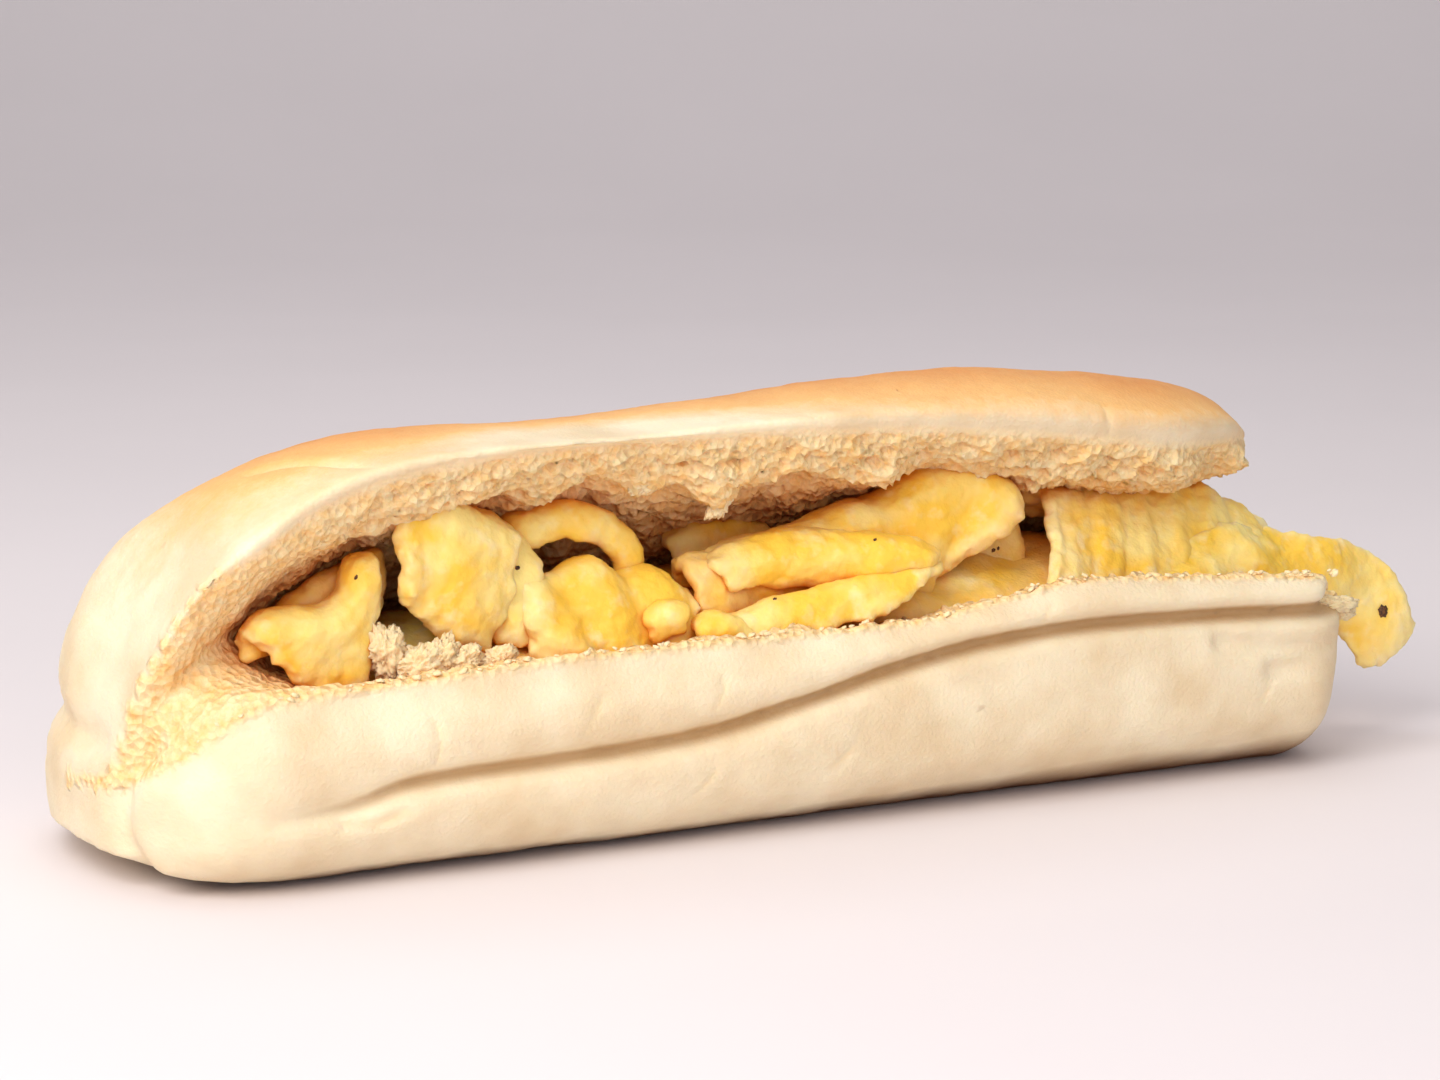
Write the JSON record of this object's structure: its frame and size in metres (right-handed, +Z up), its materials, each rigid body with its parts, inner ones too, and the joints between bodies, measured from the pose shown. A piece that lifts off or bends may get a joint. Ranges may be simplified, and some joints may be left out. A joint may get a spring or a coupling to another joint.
{
  "type": "breakfast sandwich",
  "caption": "Soft white roll slit along its long side and filled with folded thin omelette, its lid still joined along the back.",
  "frame": {"origin": "middle of the underside of the whole object's box, on the surface it rests on", "axes": "+X along the roll from its closed end towards its open end and the hanging tail of omelette, the slit faces -Y, the joined back faces +Y, +Z up"},
  "size_m": [0.194, 0.0546, 0.0546],
  "materials": {
    "bread": "soft baked crust, dusty satin, with matt open crumb inside the slit",
    "omelette": "satin, slightly moist, lightly browned at the edges"
  },
  "bodies": {
    "root": {"split_roll": "bread", "egg_big_flap": "omelette", "egg_left_fold": "omelette", "egg_long_roll": "omelette", "egg_front_flap": "omelette", "egg_lower_lip": "omelette", "egg_pleated": "omelette", "egg_tail": "omelette", "egg_crumple": "omelette", "egg_arch": "omelette", "egg_side_fold": "omelette", "egg_roll_back": "omelette", "egg_left_back": "omelette", "egg_nub_left": "omelette", "egg_nub_right": "omelette", "egg_back_sliver": "omelette", "egg_bed": "omelette"}
  },
  "joints": []
}
